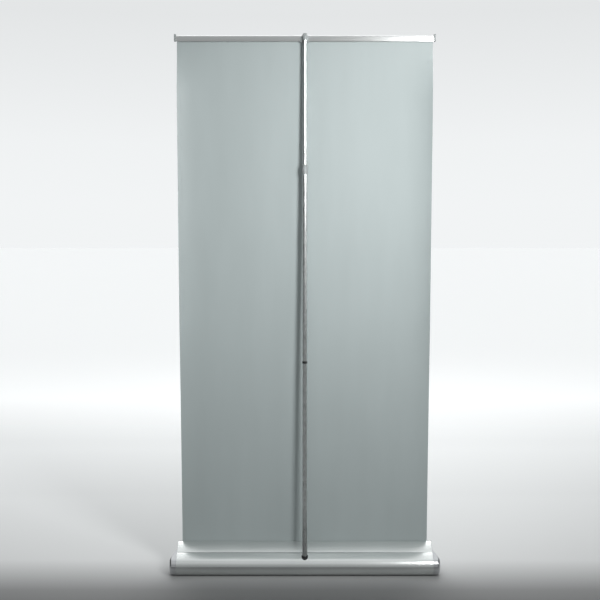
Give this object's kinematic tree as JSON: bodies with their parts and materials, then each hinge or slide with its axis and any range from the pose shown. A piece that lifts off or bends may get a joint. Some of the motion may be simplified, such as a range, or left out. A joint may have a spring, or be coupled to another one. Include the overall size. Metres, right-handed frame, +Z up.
{
  "type": "roll-up banner stand",
  "caption": "Free-standing roll-up banner stand: wide aluminium base with a spring roller, tall film, telescopic rear pole and clamping top rail.",
  "frame": {"origin": "bottom centre of the whole stand, on the floor, midway along the base and midway between its front and rear", "axes": "+X along the base, +Y to the printed side of the film, -Y to the pole side that the picture shows, +Z up"},
  "size_m": [1.095, 0.2079, 2.155],
  "materials": {
    "satin_aluminium": "satin silver anodised extrusion",
    "pole_aluminium": "satin drawn tube",
    "rail_aluminium": "satin silver anodised extrusion",
    "chrome_cap": "polished chrome plating on moulded plastic",
    "grey_plastic": "fine matte moulded",
    "black_plastic": "satin moulded",
    "rubber": "matte",
    "steel": "zinc plated",
    "felt": "short dense felt",
    "film": "grey-backed film, plain pale printed side"
  },
  "bodies": {
    "base": {"rear_shell": "satin_aluminium", "front_shell": "satin_aluminium", "rear_top_cover": "satin_aluminium", "slot_felt_rear": "felt", "slot_felt_front": "felt", "end_cap_left": "chrome_cap", "end_cap_right": "chrome_cap", "end_plate_left": "steel", "end_plate_right": "steel", "plate_screw_rear_left": "steel", "plate_screw_floor_left": "steel", "plate_screw_front_left": "steel", "plate_screw_rear_right": "steel", "plate_screw_floor_right": "steel", "plate_screw_front_right": "steel", "foot_rear_left": "rubber", "foot_front_left": "rubber", "foot_rear_right": "rubber", "foot_front_right": "rubber", "idle_shaft": "steel", "spring_shaft": "steel", "spring_anchor": "black_plastic", "banner_film": "film", "pole_socket": "black_plastic", "pole_foot_plug": "rubber", "pole_lower_tube": "pole_aluminium", "pole_middle_tube": "pole_aluminium", "pole_joint_ring": "black_plastic", "pole_joint_spigot": "black_plastic", "lock_sleeve": "grey_plastic"},
    "roller": {"roller_tube": "satin_aluminium", "film_roll": "film", "roller_plug_left": "black_plastic", "roller_plug_right": "black_plastic", "torsion_spring": "steel"},
    "twist_lock": {"twist_ring": "grey_plastic"},
    "upper_pole": {"pole_upper_tube": "pole_aluminium", "upper_tube_bush": "black_plastic", "top_hook": "grey_plastic", "rail_rear": "rail_aluminium", "rail_cap_left": "grey_plastic", "rail_cap_right": "grey_plastic", "rail_cap_screw_left": "steel", "rail_cap_screw_right": "steel"},
    "jaw": {"rail_jaw": "rail_aluminium", "rail_grip_strip": "rubber"}
  },
  "joints": [
    {"name": "height_adjust", "type": "slide", "parent": "base", "child": "upper_pole", "axis": [0, 0.0265, 0.9996], "range_m": [-0.46, 0], "deforming": ["banner_film"]},
    {"name": "roller_spin", "type": "hinge", "parent": "base", "child": "roller", "pos_m": [0, 0.0132, 0.05], "axis": [1, 0, 0], "range_deg": [0, 1350]},
    {"name": "twist_lock_turn", "type": "hinge", "parent": "base", "child": "twist_lock", "pos_m": [0, -0.03623, 1.63313], "axis": [0, 0.0265, 0.9996], "range_deg": [0, 90]},
    {"name": "jaw_open", "type": "hinge", "parent": "upper_pole", "child": "jaw", "pos_m": [0, -0.0068, 2.1438], "axis": [1, 0, 0], "range_deg": [0, 35]}
  ],
  "couplings": [
    {"joint": "roller_spin", "follows": "height_adjust", "rad_per_m": -51.02}
  ]
}
